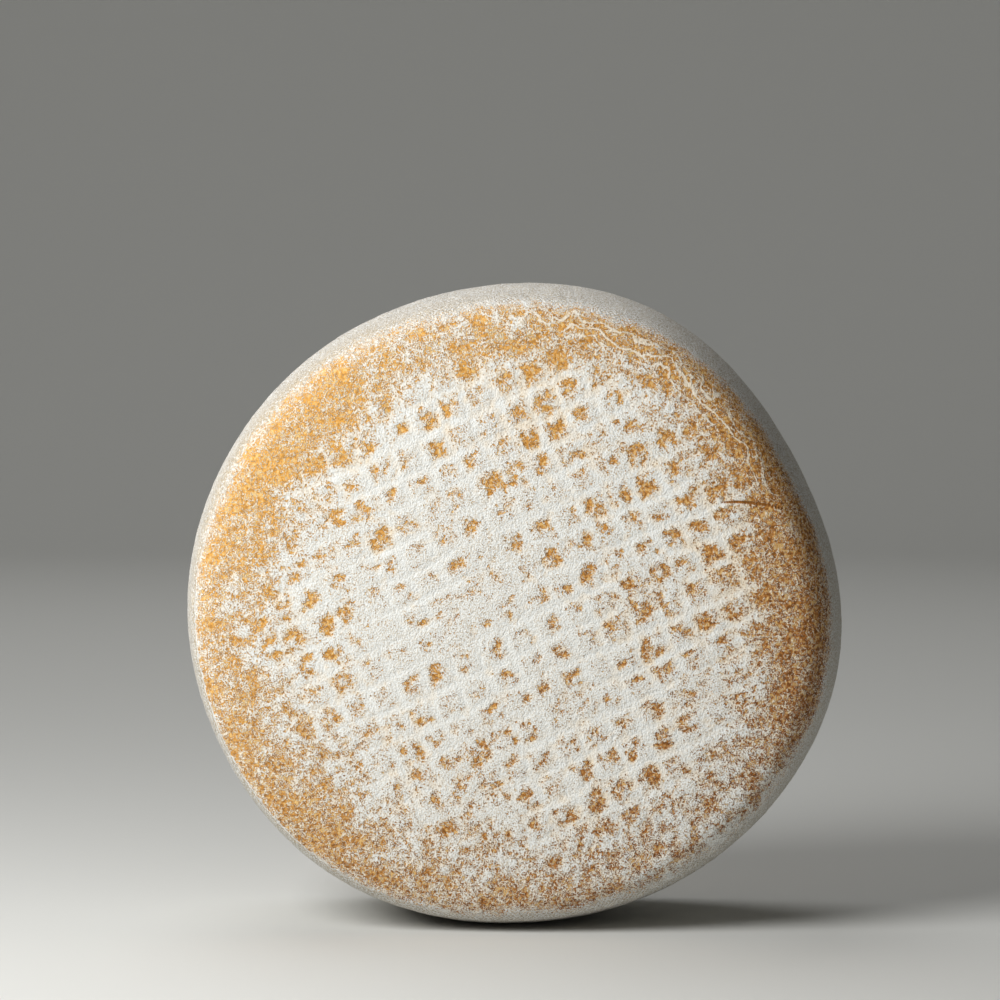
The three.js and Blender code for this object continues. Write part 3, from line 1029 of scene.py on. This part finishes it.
    # Colours of the rim
    woven = put(
        tree, "ShaderNodeMath", {0: cloth, 1: CLOTH_IN_BLOOM, 2: noise["fine"]}, operation="MULTIPLY_ADD")
    dusted = put(
        tree, "ShaderNodeMapRange",
        {"Value": woven, "From Min": RIM_BLOOM_GRAINS[0], "From Max": RIM_BLOOM_GRAINS[1]})
    stain = put(
        tree, "ShaderNodeMapRange",
        {"Value": noise["grain"], "From Min": STAIN_GRAINS[0], "From Max": STAIN_GRAINS[1],
         "To Max": STAIN_MOST})
    stain = put(tree, "ShaderNodeMath", {0: stain, 1: stored["stained"]}, operation="MULTIPLY")
    rim = put(tree, "ShaderNodeMix", {0: dusted, 6: colours.rim_rind, 7: colours.rim_bloom}, **COLOUR_MIX)
    rim = put(tree, "ShaderNodeMix", {0: stain, 6: rim, 7: colours.thin_mould}, **COLOUR_MIX)

    # The border between the face and the rim: ragged, but clean along the crisp lip
    past_corner = stored["past_edge"]
    for name, amount in (("clump", BORDER_CLUMPS), ("patch", BORDER_PATCHES), ("fine", BORDER_GRAINS)):
        past_corner = put(
            tree, "ShaderNodeMath", {0: noise[name], 1: amount, 2: past_corner}, operation="MULTIPLY_ADD")
    past_corner = put(tree, "ShaderNodeMath", {0: past_corner, 1: BORDER_BACK}, operation="SUBTRACT")
    past_lip = put(
        tree, "ShaderNodeMath", {0: noise["clump"], 1: LIP_CLUMPS, 2: stored["from_corner"]},
        operation="MULTIPLY_ADD")
    past_lip = put(tree, "ShaderNodeMath", {0: past_lip, 1: LIP_BACK}, operation="SUBTRACT")
    past = put(tree, "ShaderNodeMix", {0: stored["lipped"], 2: past_corner, 3: past_lip}, data_type="FLOAT")
    on_rim = put(
        tree, "ShaderNodeMapRange", {"Value": past, "From Min": -BORDER_SOFT, "From Max": BORDER_SOFT},
        interpolation_type="SMOOTHSTEP")
    rind = put(tree, "ShaderNodeMix", {0: on_rim, 6: face, 7: rim}, **COLOUR_MIX)

    # The crisp lip is a pale line along the shoulder's edge, with a dark line of painted groove shade outside
    # it. The crack comes last.
    off_lip = put(tree, "ShaderNodeMath", {0: past_lip}, operation="ABSOLUTE")
    lip = put(
        tree, "ShaderNodeMapRange",
        {"Value": off_lip, "From Min": LIP_LINE_WHOLE, "From Max": LIP_LINE_GONE,
         "To Min": 1.0, "To Max": 0.0})
    lip = put(tree, "ShaderNodeMath", {0: lip, 1: stored["lipped"]}, operation="MULTIPLY")
    painted_groove_shade = put(
        tree, "ShaderNodeMath", {0: past_lip, 1: GROOVE_SHADE_OUTSIDE, 2: GROOVE_SHADE_HALF}, operation="COMPARE")
    painted_groove_shade = put(tree, "ShaderNodeMath", {0: painted_groove_shade, 1: stored["lipped"]}, operation="MULTIPLY")
    in_crack = put(tree, "ShaderNodeMapRange", {"Value": stored["cracked"], "From Max": CRACK_COLOUR_FULL})
    for share, colour in (
        (lip, colours.rim_bloom), (painted_groove_shade, colours.thin_mould), (in_crack, colours.crack),
    ):
        rind = put(tree, "ShaderNodeMix", {0: share, 6: rind, 7: colour}, **COLOUR_MIX)
    tree.links.new(rind, shader.inputs["Base Color"])
    rough = put(
        tree, "ShaderNodeMapRange", {"Value": bloom, "To Min": SKIN_ROUGHNESS, "To Max": MOULD_ROUGHNESS})
    tree.links.new(rough, shader.inputs["Roughness"])
    shader.inputs["IOR"].default_value = RIND_IOR
    shader.inputs["Specular IOR Level"].default_value = RIND_SPECULAR

    # Fine relief: grains, and the cloth's threads on the rim
    cloth = put(tree, "ShaderNodeMath", {0: cloth, 1: on_rim}, operation="MULTIPLY")
    relief = put(tree, "ShaderNodeMath", {0: bloom, 1: BUMP_MOULD}, operation="MULTIPLY")
    for layer, amount in ((noise["grain"], BUMP_GRAIN), (noise["fine"], BUMP_FINE), (cloth, BUMP_CLOTH)):
        relief = put(tree, "ShaderNodeMath", {0: layer, 1: amount, 2: relief}, operation="MULTIPLY_ADD")
    bump = put(
        tree, "ShaderNodeBump", {"Height": relief, "Strength": BUMP_STRENGTH, "Distance": BUMP_HEIGHT})
    tree.links.new(bump, shader.inputs["Normal"])
    return material


class CHEESE_OT_add_wheel(bpy.types.Operator):
    """Builds the cheese wheel with its rind, in place of the plain solid."""

    bl_idname = "cheese.add_wheel"
    bl_label = "Add cheese wheel"

    def execute(self, context):
        sizes = context.scene.cheese_sizes
        mesh, axis = wheel_blank_mesh(sizes)
        rind = rind_material(sizes, context.scene.rind_colours, axis)
        wheel = bpy.data.objects.new(WHEEL_PIECE, mesh)
        context.scene.collection.objects.link(wheel)
        tree = relief_tree()
        relief = wheel.modifiers.new("Rind relief", "NODES")
        relief.node_group = tree
        for socket in tree.interface.items_tree:
            if socket.in_out == "OUTPUT" or socket.name == "Geometry":
                continue
            if socket.name == "Axis":
                relief[socket.identifier] = axis
            elif socket.name == "Rind":
                relief[socket.identifier] = rind
            else:
                relief[socket.identifier] = float(getattr(sizes, socket.name))
        shaped = wheel.evaluated_get(context.evaluated_depsgraph_get())
        finished = bpy.data.meshes.new_from_object(shaped)
        wheel.modifiers.clear()
        wheel.data = finished
        bpy.data.meshes.remove(mesh)
        finished.name = WHEEL_PIECE
        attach(wheel, "root")
        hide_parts(WHEEL_NODE)
        return {"FINISHED"}


def paper_material(studio):
    """Matt photo paper: even and pale."""
    material = bpy.data.materials.new("matt_paper_sweep")
    material.use_nodes = True
    shader = material.node_tree.nodes["Principled BSDF"]
    shader.inputs["Base Color"].default_value = studio.floor_colour
    shader.inputs["Roughness"].default_value = PAPER_ROUGHNESS
    return material


def paper_sweep(studio):
    """A round sheet of paper that curves up all round, far outside the camera."""
    turns = np.linspace(0, 2 * math.pi, SWEEP_TURNS, endpoint=False)
    bend = np.linspace(0, math.pi / 2, SWEEP_BEND_STEPS)
    section = [(SWEEP_FLAT + SWEEP_BEND * math.sin(b), SWEEP_BEND * (1 - math.cos(b))) for b in bend]
    section.append((SWEEP_FLAT + SWEEP_BEND, SWEEP_HEIGHT))
    points = [(0, 0, 0)] + [(r * math.cos(t), r * math.sin(t), h) for r, h in section for t in turns]
    faces = [(0, 1 + t, 1 + (t + 1) % SWEEP_TURNS) for t in range(SWEEP_TURNS)]
    for ring in range(len(section) - 1):
        start = 1 + ring * SWEEP_TURNS
        for t in range(SWEEP_TURNS):
            after = (t + 1) % SWEEP_TURNS
            faces.append((start + t, start + SWEEP_TURNS + t, start + SWEEP_TURNS + after, start + after))
    mesh = bpy.data.meshes.new("paper_sweep")
    mesh.from_pydata(points, [], faces)
    mesh.shade_smooth()
    mesh.materials.append(paper_material(studio))
    return bpy.data.objects.new("paper_sweep", mesh)


def aim(thing, place, target):
    """Puts a light or camera at a place, looking at a target."""
    thing.location = place
    thing.rotation_euler = (Vector(target) - Vector(place)).to_track_quat("-Z", "Y").to_euler()


class CHEESE_OT_add_studio(bpy.types.Operator):
    """Builds the floor, the lights and the camera."""

    bl_idname = "cheese.add_studio"
    bl_label = "Add studio"

    def execute(self, context):
        scene = context.scene
        studio = scene.cheese_studio
        low, high = CAD_BOX
        middle = (low + high) / 2
        sweep = paper_sweep(studio)
        scene.collection.objects.link(sweep)

        for name, size, power, place, target in (
            ("key_soft_box", KEY_SIZE, studio.key_power, middle + KEY_PLACE, middle),
            ("overhead_soft_box", OVERHEAD_SIZE, studio.overhead_power, OVERHEAD_PLACE, OVERHEAD_TARGET),
        ):
            light = bpy.data.lights.new(name, "AREA")
            light.shape = "DISK"
            light.size = size
            light.energy = power
            light_object = bpy.data.objects.new(name, light)
            light_object.visible_camera = False
            scene.collection.objects.link(light_object)
            aim(light_object, place, target)

        world = bpy.data.worlds.new("room_light")
        world.use_nodes = True
        background = world.node_tree.nodes["Background"]
        background.inputs["Color"].default_value = (1, 1, 1, 1)
        background.inputs["Strength"].default_value = studio.fill_strength
        scene.world = world

        camera = bpy.data.cameras.new("photo_camera")
        camera.lens = CAMERA_LENS
        camera.sensor_width = CAMERA_SENSOR
        camera_object = bpy.data.objects.new("photo_camera", camera)
        scene.collection.objects.link(camera_object)
        turn, rise = studio.camera_azimuth, studio.camera_elevation
        back = Vector((math.sin(turn) * math.cos(rise), -math.cos(turn) * math.cos(rise), math.sin(rise)))
        aim(camera_object, middle + back * studio.camera_distance, CAMERA_TARGET)
        scene.camera = camera_object
        scene.view_settings.view_transform = "Standard"
        return {"FINISHED"}


class CHEESE_PT_sidebar(bpy.types.Panel):
    """Sizes, colours and the two steps of the build."""

    bl_idname = "CHEESE_PT_sidebar"
    bl_label = "Goat Cheese Wheel"
    bl_space_type = "VIEW_3D"
    bl_region_type = "UI"
    bl_category = "Cheese"

    def draw(self, context):
        scene = context.scene
        for settings in (scene.cheese_sizes, scene.rind_colours, scene.cheese_studio):
            box = self.layout.box()
            for name in type(settings).__annotations__:
                box.prop(settings, name)
        for operator in (CHEESE_OT_add_wheel, CHEESE_OT_add_studio):
            self.layout.operator(operator.bl_idname)


CLASSES = (
    CheeseWheelSizes, RindColours, StudioSettings, CHEESE_OT_add_wheel, CHEESE_OT_add_studio,
    CHEESE_PT_sidebar,
)


def register():
    for item in CLASSES:
        bpy.utils.register_class(item)
    bpy.types.Scene.cheese_sizes = PointerProperty(type=CheeseWheelSizes)
    bpy.types.Scene.rind_colours = PointerProperty(type=RindColours)
    bpy.types.Scene.cheese_studio = PointerProperty(type=StudioSettings)


def unregister():
    del bpy.types.Scene.cheese_sizes
    del bpy.types.Scene.rind_colours
    del bpy.types.Scene.cheese_studio
    for item in reversed(CLASSES):
        bpy.utils.unregister_class(item)


def main():
    register()
    bpy.ops.cheese.add_wheel()
    bpy.ops.cheese.add_studio()


if __name__ == "__main__":
    main()
